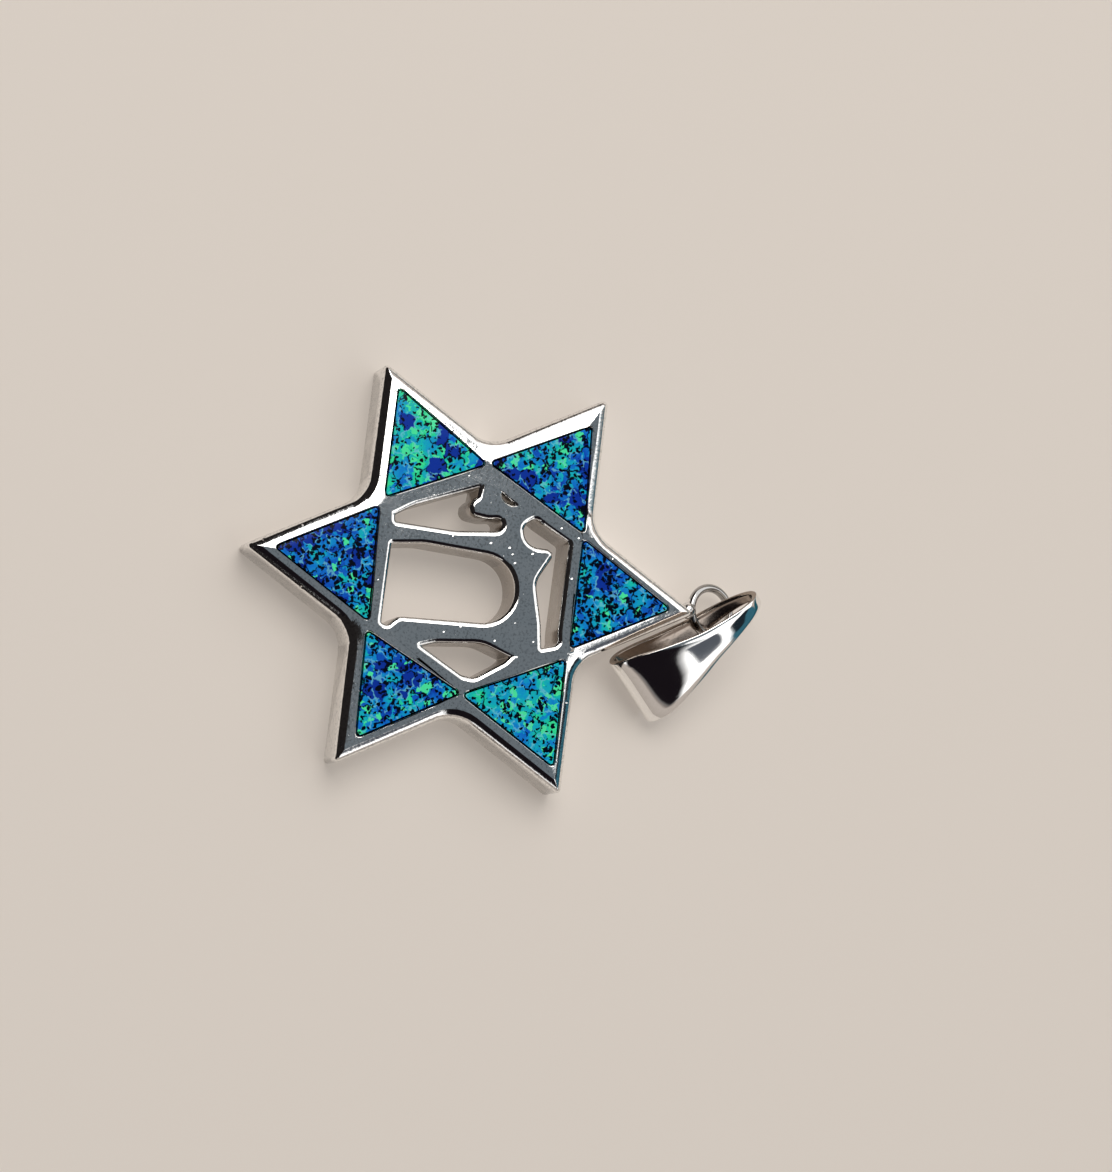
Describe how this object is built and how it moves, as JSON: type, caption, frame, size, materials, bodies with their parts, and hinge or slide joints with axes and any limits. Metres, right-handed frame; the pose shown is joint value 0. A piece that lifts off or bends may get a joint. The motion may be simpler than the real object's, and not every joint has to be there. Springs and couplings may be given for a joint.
{
  "type": "star of david pendant",
  "caption": "Flat silver star pendant with inlaid blue-green stones, a pierced centre and a leaf-shaped bail on a soldered ring for a chain.",
  "frame": {"origin": "on the surface that the star lies on, under the middle of the whole pendant", "axes": "+Z out of the star's face, +Y from the star's centre to the point with the ring, +X to the right seen from the front"},
  "size_m": [0.0188, 0.0249, 0.0035],
  "materials": {
    "silver": "polished silver",
    "bail_silver": "polished silver sheet",
    "opal_blue": "polished opal mosaic",
    "opal_teal": "polished opal mosaic",
    "opal_green": "polished opal mosaic"
  },
  "bodies": {
    "root": {"star_frame": "silver", "opal_top": "opal_blue", "opal_upper_left": "opal_teal", "opal_lower_left": "opal_green", "opal_bottom": "opal_blue", "opal_lower_right": "opal_blue", "opal_upper_right": "opal_teal", "bail": "bail_silver"}
  },
  "joints": []
}
